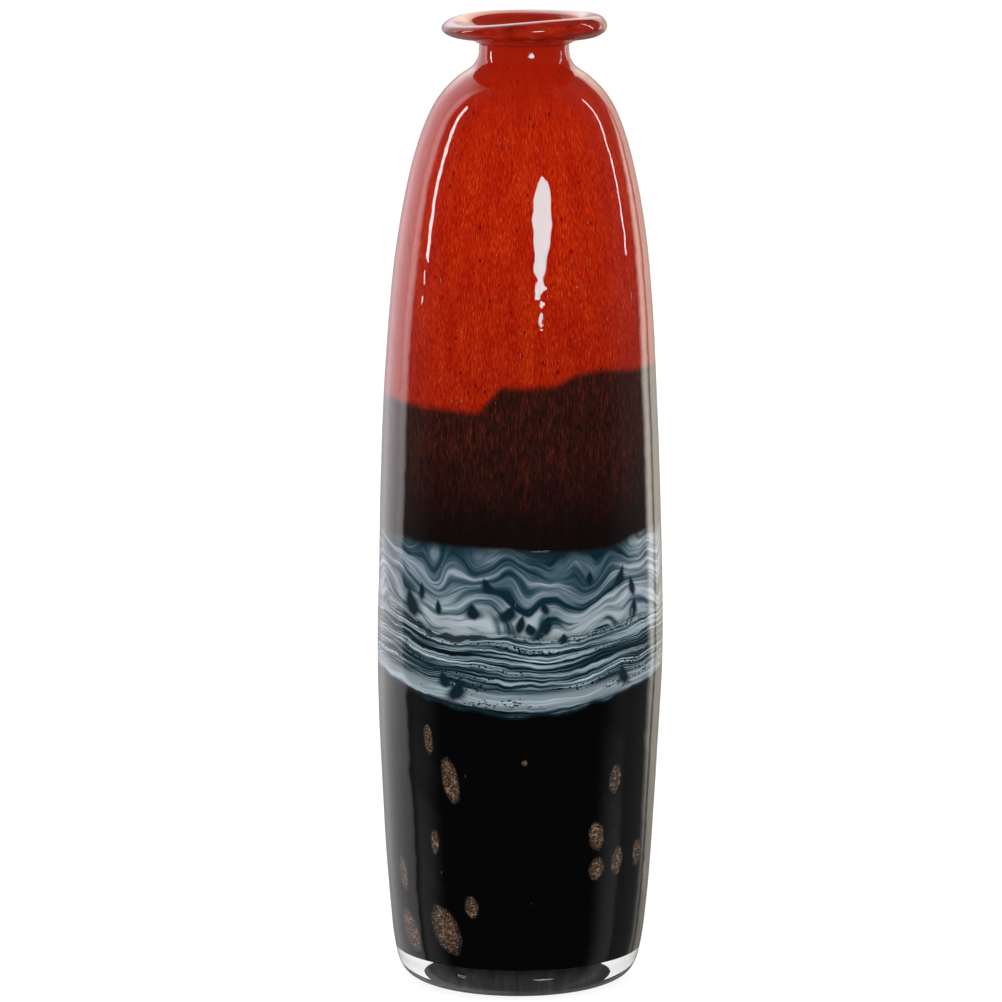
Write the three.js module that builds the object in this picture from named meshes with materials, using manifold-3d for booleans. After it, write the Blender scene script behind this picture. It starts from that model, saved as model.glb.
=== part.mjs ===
// A tall hand blown art glass vase, in millimetres, +Z up.
// The origin is the middle of the resting face, and the front of the vase faces -Y.
//
// The wall is built the way the glass was gathered: a clear first gather with the bore inside it,
// then a coat of coloured glass that changes with height, then copper flecks pressed into the black,
// and last a thick clear casing that also makes the foot. A coil of red glass is wrapped on the mouth.

import * as THREE from 'three';
import { mergeVertices } from 'three/addons/utils/BufferGeometryUtils.js';
import Module from 'manifold-3d';

const wasm = await Module();
wasm.setup();

// ---------------------------------------------------------------- driving dimensions

const HEIGHT = 400; // foot to the highest point of the lip
const FOOT = 12.5; // clear glass under the colour
const NECK_TOP = 388; // where the lip coil sits on the neck
const NECK_RADIUS = 18.3; // outside of the neck
const LIP_RADIUS = 33.7; // outside of the lip coil
const BASE_RADIUS = 40; // outer edge of the flat resting ring
const HOLLOW_RADIUS = 28; // ground pontil hollow in the base
const HOLLOW_DEPTH = 2;
const CORNER = 6; // inside corner between wall and floor, at the casing

const CASING = 4; // clear casing over the colour
const COAT = 2.6; // coloured glass
const LINING = 1.6; // clear first gather, around the bore
const GAP = 0.3; // between pieces that touch
const NECK_SHARE = 0.7; // the wall thins to this share at the neck
const THINNING_START = 325;
const THINNING_END = 378;

const BLACK_TOP = 127; // mean heights where the coloured glass changes
const BAND_TOP = 190;
const DARK_TOP = 252;

const WIDEST = 150; // height of the widest place, about which the vase leans
const LEAN = 1.6; // sideways lean of the mouth
const LIP_DIP = 5; // how far the lip sinks at its front left

const FLECK_THICKNESS = 1.2;
const FLECK_COVER = 0.1; // black glass over the flecks
const SEGMENTS = 32; // facets around the vase

// Outside of the vase from the resting ring to the top of the neck, as [radius, height].
const OUTSIDE = new THREE.SplineCurve([
  [BASE_RADIUS, 0], [44.4, 1.3], [47.5, 3.6], [50, 8.4], [52.3, 20], [53.7, 34], [55, 50],
  [57.4, 90], [59, 128], [59.2, WIDEST], [58.6, 175], [57.6, 208], [56.4, 242], [54.3, 275], [51.2, 308], [47, 332],
  [42.8, 348], [37.9, 361], [32.9, 369], [26.5, 375.3], [20.9, 379.3], [18.7, 383],
  [NECK_RADIUS, NECK_TOP],
].map(([radius, height]) => new THREE.Vector2(radius, height)));
const LEVELS = OUTSIDE.points.map((point) => point.y);
const FINE_OUTSIDE = OUTSIDE.getPoints(400);

// Copper flecks seen from the front: angle from the front and tilt in degrees, the rest in mm.
const FRONT_FLECKS = [
  { angle: -42, height: 108, width: 5, length: 13, tilt: 4 },
  { angle: -31, height: 92, width: 8, length: 20, tilt: 12 },
  { angle: -40, height: 65, width: 4.5, length: 11, tilt: 0 },
  { angle: -63, height: 48, width: 6, length: 15, tilt: 8 },
  { angle: -22, height: 39, width: 6, length: 10, tilt: 10 },
  { angle: -36, height: 28, width: 13, length: 22, tilt: 24 },
  { angle: -60, height: 24, width: 11, length: 19, tilt: 22 },
  { angle: 2, height: 101, width: 2.5, length: 3, tilt: 0 },
  { angle: 45, height: 91, width: 6.5, length: 13, tilt: -6 },
  { angle: 36, height: 68, width: 7.5, length: 13, tilt: 10 },
  { angle: 37, height: 54, width: 8, length: 10, tilt: 0 },
  { angle: 49, height: 56, width: 7, length: 13, tilt: -5 },
  { angle: 64, height: 57, width: 7, length: 12, tilt: 8 },
  { angle: 76, height: 44, width: 7, length: 15, tilt: 12 },
];

// ---------------------------------------------------------------- the outline of the wall

function edgeWave(angle, waves) {
  return waves.reduce((sum, [height, count, turn]) => sum + height * Math.sin(count * angle + turn), 0);
}

// Where one coloured glass gives way to the next, all round the vase.
const blackTop = (angle) => BLACK_TOP - 6 * Math.cos(2 * angle);
const bandTop = (angle) => BAND_TOP + edgeWave(angle, [[1.5, 2, 0.4], [1, 3, 2]]);
const darkTop = (angle) => DARK_TOP + edgeWave(angle, [[6, 1, 0], [2, 3, 0]]);
const neckTop = () => NECK_TOP;

function outsideAt(height) {
  const index = FINE_OUTSIDE.findIndex((point) => point.y >= height);
  const upper = FINE_OUTSIDE[Math.max(index, 1)];
  const lower = FINE_OUTSIDE[Math.max(index, 1) - 1];
  const along = upper.clone().sub(lower).normalize();
  const share = (height - lower.y) / (upper.y - lower.y);
  return { point: lower.clone().lerp(upper, share), outward: new THREE.Vector2(along.y, -along.x) };
}

// A surface inside the wall: `glass` mm of full-thickness wall and `gaps` joints lie outside it.
function wallPoint(height, { glass, gaps }) {
  const { point, outward } = outsideAt(height);
  const thinning = THREE.MathUtils.smoothstep(height, THINNING_START, THINNING_END);
  const depth = glass * THREE.MathUtils.lerp(1, NECK_SHARE, thinning) + gaps * GAP;
  return point.addScaledVector(outward, -depth);
}

const CASING_INSIDE = { glass: CASING, gaps: 0 };
const COAT_OUTSIDE = { glass: CASING, gaps: 1 };
const COAT_INSIDE = { glass: CASING + COAT, gaps: 1 };
const LINING_OUTSIDE = { glass: CASING + COAT, gaps: 2 };
const LINING_INSIDE = { glass: CASING + COAT + LINING, gaps: 2 };

const CORNER_HEIGHT = FOOT + CORNER;
const CORNER_CENTRE = wallPoint(CORNER_HEIGHT, CASING_INSIDE).x - CORNER;
const wallLevels = (low, high) => LEVELS.filter((level) => level > low && level < high);

// From the axis, across a floor and round its corner, then up the wall to the top.
function cupOutline(surface, top) {
  const inset = surface.glass - CASING + surface.gaps * GAP;
  const corner = [-90, -60, -30, 0].map((degrees) => {
    const turn = THREE.MathUtils.degToRad(degrees);
    const radius = CORNER - inset;
    return new THREE.Vector2(CORNER_CENTRE + radius * Math.cos(turn), CORNER_HEIGHT + radius * Math.sin(turn));
  });
  const wall = [...wallLevels(CORNER_HEIGHT, top), top].map((level) => wallPoint(level, surface));
  return [new THREE.Vector2(0, FOOT + inset), ...corner, ...wall];
}

// ---------------------------------------------------------------- solids of revolution and joins

function turned(outline) {
  const geometry = new THREE.LatheGeometry(outline, SEGMENTS);
  geometry.rotateX(Math.PI / 2);
  return geometry;
}

function movePoints(geometry, move) {
  const positions = geometry.attributes.position;
  const point = new THREE.Vector3();
  for (let index = 0; index < positions.count; index += 1) {
    point.fromBufferAttribute(positions, index);
    move(point);
    positions.setXYZ(index, point.x, point.y, point.z);
  }
  return geometry;
}

const angleOf = (point) => Math.atan2(point.x, -point.y);

// Vertices shared, and the slivers that collapse on the axis dropped.
function welded(geometry) {
  geometry.deleteAttribute('normal');
  geometry.deleteAttribute('uv');
  const merged = mergeVertices(geometry, 1e-4);
  const corners = [];
  for (let index = 0; index < merged.index.count; index += 3) {
    const face = [0, 1, 2].map((step) => merged.index.getX(index + step));
    if (new Set(face).size === 3) corners.push(...face);
  }
  merged.setIndex(corners);
  return merged;
}

function solidOf(geometry) {
  const mesh = welded(geometry);
  return new wasm.Manifold(new wasm.Mesh({
    numProp: 3,
    vertProperties: new Float32Array(mesh.attributes.position.array),
    triVerts: new Uint32Array(mesh.index.array),
  }));
}

function geometryOf(solid) {
  const mesh = solid.getMesh();
  const geometry = new THREE.BufferGeometry();
  geometry.setAttribute('position', new THREE.BufferAttribute(mesh.vertProperties, 3));
  geometry.setIndex(new THREE.BufferAttribute(mesh.triVerts, 1));
  return geometry;
}

// ---------------------------------------------------------------- the pieces

function clearCasing() {
  const base = [
    new THREE.Vector2(0, HOLLOW_DEPTH),
    new THREE.Vector2(HOLLOW_RADIUS * 0.6, HOLLOW_DEPTH * 0.7),
    new THREE.Vector2(HOLLOW_RADIUS, 0),
  ];
  const outside = LEVELS.map((level) => outsideAt(level).point);
  const inside = cupOutline(CASING_INSIDE, NECK_TOP).reverse();
  return turned([...base, ...outside, ...inside]);
}

function innerLining() {
  return turned([...cupOutline(LINING_OUTSIDE, NECK_TOP), ...cupOutline(LINING_INSIDE, NECK_TOP).reverse()]);
}

// A ring of coloured glass between two wavy edges, one joint apart from its neighbours.
function colourRing(lowEdge, low, highEdge, high) {
  const clearance = 12; // keeps the level rings off the wavy edges
  const topClearance = highEdge === neckTop ? 0 : clearance;
  const levels = [low, ...wallLevels(low + clearance, high - topClearance), high];
  const outside = levels.map((level) => wallPoint(level, COAT_OUTSIDE));
  const inside = levels.map((level) => wallPoint(level, COAT_INSIDE)).reverse();
  return wavyEdges(turned([...outside, ...inside, outside[0]]), lowEdge, low, highEdge, high);
}

// Moves the points at the mean height of an edge up or down to the edge itself, along the wall.
function wavyEdges(geometry, lowEdge, low, highEdge, high) {
  const reach = 2; // an edge point lies this close to its mean height
  const middle = (CASING + COAT / 2);
  return movePoints(geometry, (point) => {
    const angle = angleOf(point);
    const atLow = low !== null && Math.abs(point.z - low) < reach;
    const atHigh = highEdge !== neckTop && Math.abs(point.z - high) < reach;
    if (!atLow && !atHigh) return;
    const target = atLow ? lowEdge(angle) + GAP / 2 : highEdge(angle) - GAP / 2;
    const radius = Math.hypot(point.x, point.y);
    const surface = radius > wallPoint(point.z, { glass: middle, gaps: 1 }).x ? COAT_OUTSIDE : COAT_INSIDE;
    const place = wallPoint(target, surface);
    point.set(place.x * Math.sin(angle), -place.x * Math.cos(angle), place.y);
  });
}

const shoulderCoat = () => colourRing(darkTop, DARK_TOP, neckTop, NECK_TOP);
const darkBand = () => colourRing(bandTop, BAND_TOP, darkTop, DARK_TOP);
const marbledBand = () => colourRing(blackTop, BLACK_TOP, bandTop, BAND_TOP);

function blackCup(flecks) {
  const outside = cupOutline(COAT_OUTSIDE, BLACK_TOP);
  const inside = cupOutline(COAT_INSIDE, BLACK_TOP).reverse();
  const cup = wavyEdges(turned([...outside, ...inside]), null, null, blackTop, BLACK_TOP);
  const pocketed = flecks.reduce((solid, fleck) => (
    solid.subtract(solidOf(fleckShape(fleck, GAP)))
  ), solidOf(cup));
  return geometryOf(withoutSplinters(pocketed));
}

// A pocket can leave a splinter of a facet at its rim: only the largest body is the cup.
function withoutSplinters(solid) {
  return solid.decompose().reduce((most, body) => (body.volume() > most.volume() ? body : most));
}

// A lens of copper glass, bent round the vase just under the surface of the black.
function fleckShape({ angle, height, width, length, tilt }, grow) {
  const lens = new THREE.SphereGeometry(1, 8, 4);
  lens.rotateX(Math.PI / 2);
  lens.scale(width / 2 + grow, length / 2 + grow, FLECK_THICKNESS / 2 + grow);
  lens.rotateZ(THREE.MathUtils.degToRad(tilt));
  const middle = { glass: CASING + FLECK_COVER + FLECK_THICKNESS / 2, gaps: 1 };
  return movePoints(lens, (point) => {
    const wall = wallPoint(height + point.y, middle);
    const turn = THREE.MathUtils.degToRad(angle) + point.x / wall.x;
    const radius = wall.x + point.z;
    point.set(radius * Math.sin(turn), -radius * Math.cos(turn), wall.y);
  });
}

// The back of the vase carries the same flecks, mirrored and turned so that both sides fill in.
function allFlecks() {
  const backTurn = 194;
  const back = FRONT_FLECKS.map((fleck) => (
    { ...fleck, angle: backTurn - fleck.angle, tilt: -fleck.tilt }
  ));
  return [...FRONT_FLECKS, ...back];
}

// The lip sinks at the front left, where the coil was laid on first.
function lipDip(angle) {
  return LIP_DIP * ((1 - Math.sin(angle)) / 2) ** 2 * (1 + Math.cos(angle)) / 2;
}

function lipCoil() {
  const bottom = NECK_TOP + GAP;
  const bore = wallPoint(NECK_TOP, LINING_INSIDE).x;
  const crest = 29.2; // radius of the highest ring
  const outline = [
    [bore, bottom], [NECK_RADIUS, bottom], [22, 389.8], [29, 391], [32.4, 392.8], [LIP_RADIUS, 395],
    [33.2, 397.2], [31.5, 399.2], [crest, HEIGHT], [26.8, 399.6], [24, 398.3], [21.2, 395], [18, 391],
    [bore + 0.7, 389.6], [bore, bottom],
  ].map(([radius, height]) => new THREE.Vector2(radius, height));
  return movePoints(turned(outline), (point) => {
    const share = THREE.MathUtils.clamp((point.z - bottom) / (HEIGHT - bottom), 0, 1);
    point.z -= lipDip(angleOf(point)) * share ** 2;
  });
}

// ---------------------------------------------------------------- assembly

const FINISHES = {
  clear: { color: 0xdfe8ea, roughness: 0.04, metalness: 0, transparent: true, opacity: 0.3 },
  red: { color: 0xbe2410, roughness: 0.1, metalness: 0 },
  dark: { color: 0x2a100c, roughness: 0.1, metalness: 0 },
  marbled: { color: 0x8fa3ad, roughness: 0.1, metalness: 0 },
  black: { color: 0x070708, roughness: 0.08, metalness: 0 },
  copper: { color: 0x8a6248, roughness: 0.35, metalness: 0.7 },
};

const vase = new THREE.Group();

function addPiece(name, geometry, finish) {
  movePoints(geometry, (point) => {
    point.x += LEAN * (point.z - WIDEST) / (HEIGHT - WIDEST);
  });
  geometry.computeVertexNormals();
  const piece = new THREE.Mesh(geometry, new THREE.MeshStandardMaterial(FINISHES[finish]));
  piece.name = name;
  vase.add(piece);
}

const flecks = allFlecks();
addPiece('clear_casing', clearCasing(), 'clear');
addPiece('inner_lining', innerLining(), 'clear');
addPiece('black_glass_cup', blackCup(flecks), 'black');
addPiece('marbled_white_band', marbledBand(), 'marbled');
addPiece('dark_glass_band', darkBand(), 'dark');
addPiece('red_shoulder_coat', shoulderCoat(), 'red');
addPiece('lip_coil', lipCoil(), 'red');
flecks.forEach((fleck, index) => {
  const number = String(index + 1).padStart(2, '0');
  addPiece(`copper_fleck_${number}`, fleckShape(fleck, 0), 'copper');
});

export default vase;
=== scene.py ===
"""Looks of the hand blown art glass vase, built around its CAD frame. Metres, +Z up, the front faces -Y."""

import math
import random

import bpy
import numpy as np
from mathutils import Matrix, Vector
from mathutils.bvhtree import BVHTree


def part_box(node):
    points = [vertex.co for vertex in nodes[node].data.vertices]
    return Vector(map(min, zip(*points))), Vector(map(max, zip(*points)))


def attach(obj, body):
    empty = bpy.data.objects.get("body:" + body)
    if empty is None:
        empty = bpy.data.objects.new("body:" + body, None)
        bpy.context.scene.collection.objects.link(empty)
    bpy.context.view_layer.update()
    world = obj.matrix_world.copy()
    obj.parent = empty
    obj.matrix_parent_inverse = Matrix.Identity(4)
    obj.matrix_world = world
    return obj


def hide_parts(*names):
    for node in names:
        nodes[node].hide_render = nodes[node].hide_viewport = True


MM = 0.001
SEGMENTS = 224          # round the vase
WALL_ROWS = 230         # up the outside of the wall
FACETS = 32             # round the frame's own meshes
HAIR = 0.02 * MM        # keeps a measuring ray off the edges of a mesh
MEASURED_AT = 0.15      # height of the widest place, where the layers of the wall are measured
CORNER = 6 * MM         # inside corner between wall and floor, at the casing
SMALLEST_CORNER = 1.2 * MM
EMBED = 0.15 * MM       # how far neighbouring layers of glass reach into each other, as fused glass does
BUBBLE_SEED = 11
THICKEST_BUBBLE = 0.6 * MM  # half of it, measured through the wall
SEEDS = 220             # how many small air bubbles the casing holds
FLECK_SEED = 5
PATTERN_RADIUS = 0.055  # of the cylinder that the coloured patterns are drawn on
SHARP_ANGLE = math.radians(48)  # a steeper edge between two faces is a corner
GLASS_IOR = 1.5
EDGE_ATTRIBUTE = "edge"  # of a fleck's points: 0 in its middle, 1 at its edge

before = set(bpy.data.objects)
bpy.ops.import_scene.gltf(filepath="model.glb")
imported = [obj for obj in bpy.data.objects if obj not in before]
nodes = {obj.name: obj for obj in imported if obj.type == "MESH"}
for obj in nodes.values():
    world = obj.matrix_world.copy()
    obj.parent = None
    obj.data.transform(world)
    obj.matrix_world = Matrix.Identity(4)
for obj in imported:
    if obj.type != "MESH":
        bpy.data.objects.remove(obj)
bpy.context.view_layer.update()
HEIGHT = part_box("lip_coil")[1].z


# ------------------------------------------------------------------ measuring the frame

def vertices_of(name):
    return np.array([vertex.co[:] for vertex in nodes[name].data.vertices])


def lean_of_frame():
    """The vase leans sideways: (share of height gained, height where the middle is on the axis)."""
    low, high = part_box("clear_casing"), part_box("lip_coil")
    middle = (high[0].x + high[1].x) / 2
    height = (high[0].z + high[1].z) / 2
    points = vertices_of("clear_casing")
    foot = points[points[:, 2] < low[0].z + 0.1 * MM]
    foot_middle = (foot[:, 0].min() + foot[:, 0].max()) / 2
    slope = (middle - foot_middle) / height
    return slope, -foot_middle / slope


LEAN, UPRIGHT_AT = lean_of_frame()


def lean(height):
    """How far the middle of the vase stands to the side at a height."""
    return LEAN * (height - UPRIGHT_AT)


def angles_of(points):
    """Angle of each point round the leaning vase, from the front towards +X."""
    return np.arctan2(points[:, 0] - lean(points[:, 2]), -points[:, 1])


def radii_of(points):
    return np.hypot(points[:, 0] - lean(points[:, 2]), points[:, 1])


def tree_of(name):
    mesh = nodes[name].data
    mesh.calc_loop_triangles()
    triangles = [tuple(triangle.vertices) for triangle in mesh.loop_triangles]
    return BVHTree.FromPolygons([vertex.co for vertex in mesh.vertices], triangles)


def radius_at(tree, height):
    """Distance from the vase's axis to a node's outside at a height, or None."""
    start = Vector((1.0, HAIR, height))
    hit = tree.ray_cast(start, Vector((-1, 0, 0)))[0]
    return None if hit is None else hit.x - lean(height)


def outside_rings():
    """(radius, height) of every ring of the casing that is on its outside, from the foot up."""
    tree = tree_of("clear_casing")
    points = vertices_of("clear_casing")
    rings = {(round(r, 5), round(z, 5)) for r, z in zip(radii_of(points), points[:, 2])}
    rings = sorted(rings, key=lambda ring: ring[1])
    top = rings[-1][1]
    kept = []
    for radius, height in rings:
        seen = radius_at(tree, min(max(height, HAIR), top - HAIR))
        is_new = not kept or height - kept[-1][1] > 0.4 * MM
        if seen is not None and abs(seen - radius) < 0.12 * MM and is_new:
            kept.append((radius, height))
    return kept


def smooth_curve(points, count):
    """A Catmull-Rom curve through the points, resampled evenly along its length."""
    knots = np.array([2 * np.array(points[0]) - points[1], *points, 2 * np.array(points[-1]) - points[-2]])
    h = np.linspace(0, 1, 24, endpoint=False)[:, None]
    spans = []
    for a, b, c, d in zip(knots, knots[1:], knots[2:], knots[3:]):
        reach = np.linalg.norm(c - b)
        start = reach * (c - a) / max(np.linalg.norm(b - a) + reach, 1e-9)
        end = reach * (d - b) / max(np.linalg.norm(d - c) + reach, 1e-9)
        spans.append((2 * h**3 - 3 * h**2 + 1) * b + (h**3 - 2 * h**2 + h) * start
                     + (-2 * h**3 + 3 * h**2) * c + (h**3 - h**2) * end)
    fine = np.vstack([*spans, knots[-2]])
    along = np.concatenate([[0], np.cumsum(np.linalg.norm(np.diff(fine, axis=0), axis=1))])
    even = np.linspace(0, along[-1], count)
    return np.column_stack([np.interp(even, along, fine[:, axis]) for axis in (0, 1)])


def soften_wall(curve):
    """Evens out the wall's slight kinks between the rings, away from the foot and the neck."""
    rows_each_way = 12
    bell_width = 5
    weights = np.exp(-(np.arange(-rows_each_way, rows_each_way + 1) / bell_width)**2 / 2)
    radius, height = curve.T
    even = np.convolve(np.pad(radius, rows_each_way, mode="edge"), weights / weights.sum(), "valid")
    above_foot = np.clip(height / 0.02 - 1, 0, 1)
    below_neck = np.clip((0.35 - height) / 0.03, 0, 1)
    return np.column_stack([radius + (even - radius) * above_foot * below_neck, height])


def outward_of(curve):
    """Unit vector out of the wall at every row of its outline."""
    along = np.gradient(curve, axis=0)
    along /= np.linalg.norm(along, axis=1)[:, None]
    return np.column_stack([along[:, 1], -along[:, 0]])


OUTSIDE = soften_wall(smooth_curve(outside_rings(), WALL_ROWS))
OUTWARD = outward_of(OUTSIDE)
NECK_TOP = OUTSIDE[-1][1]


def wall_depth(node, height):
    """How far inside the casing's outside a layer's own outside lies."""
    return radius_at(tree_of("clear_casing"), height) - radius_at(tree_of(node), height)


def hollow_radius():
    """Inner edge of the flat ring that the vase stands on."""
    points = vertices_of("clear_casing")
    return radii_of(points[points[:, 2] < HAIR]).min()


BODY_DEPTH = wall_depth("marbled_white_band", MEASURED_AT)
NECK_DEPTH = wall_depth("red_shoulder_coat", NECK_TOP - MM)
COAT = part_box("marbled_white_band")[1].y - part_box("inner_lining")[1].y  # thickness of the coloured glass
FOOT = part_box("black_glass_cup")[0].z  # clear glass under the colour
FLOOR = FOOT + COAT  # top of the coloured floor
HOLLOW = hollow_radius()
THINNING = (0.325, 0.378)  # heights between which the wall thins towards the neck


def inside_curve(extra, corner_floor):
    """The wall's outline `extra` inside the coat's outside: across a floor, round a corner and up."""
    share = np.clip((OUTSIDE[:, 1] - THINNING[0]) / (THINNING[1] - THINNING[0]), 0, 1)
    share = share * share * (3 - 2 * share)
    thin = NECK_DEPTH / BODY_DEPTH
    depth = BODY_DEPTH + (NECK_DEPTH - BODY_DEPTH) * share + extra * (1 + (thin - 1) * share)
    wall = OUTSIDE - OUTWARD * depth[:, None]
    corner = max(CORNER - max(extra, 0), SMALLEST_CORNER)
    wall = wall[wall[:, 1] > corner_floor + corner]
    middle = wall[0][0] - corner
    turns = np.radians(np.linspace(-90, 0, 10))
    bend = np.column_stack([middle + corner * np.cos(turns), corner_floor + corner + corner * np.sin(turns)])
    flat = np.column_stack([np.linspace(0, middle, 9)[:-1], np.full(8, corner_floor)])
    return np.vstack([flat, bend, wall])


# ------------------------------------------------------------------ making meshes

# waves in the blown wall: size (mm), how many round the vase, radians per metre up, start (radians)
WAVES = (
    (0.16, 2, 11, 0.4), (0.10, 3, 47, 2.1), (0.06, 4, 80, 4.0), (0.030, 5, 135, 1.3),
    (0.014, 8, 260, 5.2), (0.009, 13, 420, 0.9), (0.0085, 31, 640, 2.2), (0.0070, 44, -900, 0.7),
)
BOW = 0.6               # how far the upper half bows to the left (mm)
BOW_SPAN = (0.16, 0.38)  # heights where the bow starts and ends


def blown(angle, height):
    """How far hand-blown glass wanders from a true turned shape, in metres outwards."""
    fade = np.clip(height / 0.03, 0, 1) * np.clip((HEIGHT - 0.012 - height) / 0.05, 0.25, 1)
    total = sum(size * np.sin(around * angle + up * height + turn) for size, around, up, turn in WAVES)
    share = np.clip((height - BOW_SPAN[0]) / (BOW_SPAN[1] - BOW_SPAN[0]), 0, 1)
    bow = -BOW * math.sin(angle) * np.sin(math.pi * share) ** 2
    return (total * fade + bow) * MM


def finish_mesh(name, points, faces, material, smooth=True):
    """A scene object of these points and faces, smooth except along its corners."""
    mesh = bpy.data.meshes.new(name)
    mesh.from_pydata([tuple(point) for point in points], [], faces)
    mesh.validate()
    piece = bpy.data.objects.new(name, mesh)
    bpy.context.scene.collection.objects.link(piece)
    mesh.polygons.foreach_set("use_smooth", [smooth] * len(mesh.polygons))
    mesh.set_sharp_from_angle(angle=SHARP_ANGLE)
    mesh.materials.append(material)
    return piece


def revolve(name, outline_at, material, segments=SEGMENTS, wander=True, extra=((), ())):
    """A closed body from one (radius, height) outline per angle; it ends on the axis or meets itself.

    extra: points and faces of hollows inside it."""
    angles = np.linspace(0, 2 * math.pi, segments, endpoint=False)
    first = outline_at(0.0)
    rows = len(first)
    on_axis = first[0][0] < 1e-6 and first[-1][0] < 1e-6
    points = []
    for angle in angles:
        outline = np.asarray(outline_at(angle))
        radius = outline[:, 0] + (blown(angle, outline[:, 1]) * (outline[:, 0] > MM) if wander else 0)
        points.append(np.column_stack([
            radius * math.sin(angle) + lean(outline[:, 1]), -radius * math.cos(angle), outline[:, 1]]))
    points = np.array(points)
    if on_axis:
        body = points[:, 1:-1].reshape(-1, 3)
        inner = rows - 2
        start, end = len(body), len(body) + 1
        faces = []
        for j in range(segments):
            k = (j + 1) % segments
            faces.append((start, k * inner, j * inner))
            faces.append((j * inner + inner - 1, k * inner + inner - 1, end))
            faces += [(j * inner + i, k * inner + i, k * inner + i + 1, j * inner + i + 1)
                      for i in range(inner - 1)]
        faces += [tuple(len(body) + 2 + corner for corner in face) for face in extra[1]]
        return finish_mesh(name, [*body, points[0, 0], points[0, -1], *extra[0]], faces, material)
    faces = []
    for j in range(segments):
        k = (j + 1) % segments
        for i in range(rows):
            n = (i + 1) % rows
            faces.append((j * rows + i, k * rows + i, k * rows + n, j * rows + n))
    return finish_mesh(name, points.reshape(-1, 3), faces, material)


def crest_of(node):
    """Heights of a node's highest points, one for each facet from the front round."""
    points = vertices_of(node)
    facets = np.round(angles_of(points) / (2 * math.pi) * FACETS).astype(int) % FACETS
    return [points[facets == facet, 2].max() for facet in range(FACETS)]


def top_edge_of(node):
    """Height of a coloured layer's wavy top as a smooth function of the angle from the front."""
    waves = np.fft.rfft(crest_of(node)) / FACETS
    most_waves = 4

    def height(angle):
        terms = [2 * (waves[n] * np.exp(1j * n * angle)).real for n in range(1, most_waves + 1)]
        return waves[0].real + sum(terms)

    return height


def wall_piece(name, low_edge, high_edge, rows, material):
    """A ring of the coat between two wavy edges: out, up, in and down again."""
    outer = inside_curve(0, FOOT)
    inner = inside_curve(COAT, FLOOR)
    shares = np.linspace(0, 1, rows)

    def outline(angle):
        heights = low_edge(angle) + shares * (high_edge(angle) - low_edge(angle))
        out = np.column_stack([np.interp(heights, outer[:, 1], outer[:, 0]), heights])
        back = np.column_stack([np.interp(heights, inner[:, 1], inner[:, 0]), heights])[::-1]
        return np.vstack([out, back])

    return revolve(name, outline, material)


# ------------------------------------------------------------------ material helpers

class Graph:
    """A node tree, with one short call for each kind of node that the looks need."""

    def __init__(self, tree):
        self.tree = tree

    def add(self, kind, **settings):
        node = self.tree.nodes.new(kind)
        for key, value in settings.items():
            setattr(node, key, value)
        return node

    def put(self, value, socket):
        if isinstance(value, bpy.types.NodeSocket):
            self.tree.links.new(value, socket)
        elif isinstance(value, (tuple, list)) and socket.type == "RGBA" and len(value) == 3:
            socket.default_value = (*value, 1)
        else:
            socket.default_value = value

    def math(self, operation, first, second=0.0):
        node = self.add("ShaderNodeMath", operation=operation)
        self.put(first, node.inputs[0])
        self.put(second, node.inputs[1])
        return node.outputs[0]

    def sum(self, first, *others):
        for other in others:
            first = self.math("ADD", first, other)
        return first

    def times(self, first, *others):
        for other in others:
            first = self.math("MULTIPLY", first, other)
        return first

    def minus(self, value):
        return self.math("MULTIPLY", value, -1.0)

    def place(self, kind="Object"):
        """x, y and z of a point on the piece, or of a direction with the kind Generated."""
        split = self.add("ShaderNodeSeparateXYZ")
        self.put(self.add("ShaderNodeTexCoord").outputs[kind], split.inputs[0])
        return split.outputs

    def angle(self, x, y):
        """Angle round the vase from the front towards +X."""
        return self.math("ARCTAN2", x, self.minus(y))

    def join(self, x, y, z):
        node = self.add("ShaderNodeCombineXYZ")
        for value, socket in zip((x, y, z), node.inputs):
            self.put(value, socket)
        return node.outputs[0]

    def noise(self, vector, scale=1.0, detail=2.0, roughness=0.5, distortion=0.0):
        node = self.add("ShaderNodeTexNoise")
        self.put(vector, node.inputs["Vector"])
        for key, value in (("Scale", scale), ("Detail", detail), ("Roughness", roughness),
                           ("Distortion", distortion)):
            node.inputs[key].default_value = value
        return node.outputs["Fac"]

    def drawn(self, x, y, z, across, up, **settings):
        """Noise with `across` spots to a metre round the vase and `up` spots to a metre of height."""
        vector = self.join(self.times(x, across), self.times(y, across), self.times(z, up))
        return self.noise(vector, **settings)

    def cells(self, vector, scale, output="Distance"):
        node = self.add("ShaderNodeTexVoronoi")
        self.put(vector, node.inputs["Vector"])
        node.inputs["Scale"].default_value = scale
        return node.outputs[output]

    def step(self, value, low, high, from_value=0.0, to_value=1.0):
        """from_value below low, to_value above high, a soft step between."""
        node = self.add("ShaderNodeMapRange", interpolation_type="SMOOTHSTEP")
        for part, socket in zip((value, low, high, from_value, to_value), node.inputs):
            self.put(part, socket)
        return node.outputs[0]

    def mix(self, share, first, second):
        node = self.add("ShaderNodeMix", data_type="RGBA")
        self.put(share, node.inputs["Factor"])
        colours = [socket for socket in node.inputs if socket.type == "RGBA"]
        self.put(first, colours[0])
        self.put(second, colours[1])
        return [socket for socket in node.outputs if socket.type == "RGBA"][0]

    def ramp(self, value, *stops):
        node = self.add("ShaderNodeValToRGB")
        elements = node.color_ramp.elements
        while len(elements) < len(stops):
            elements.new(0.5)
        for element, (place, colour) in zip(elements, stops):
            element.position = place
            element.color = (*colour, 1)
        self.put(value, node.inputs[0])
        return node.outputs["Color"]


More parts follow.
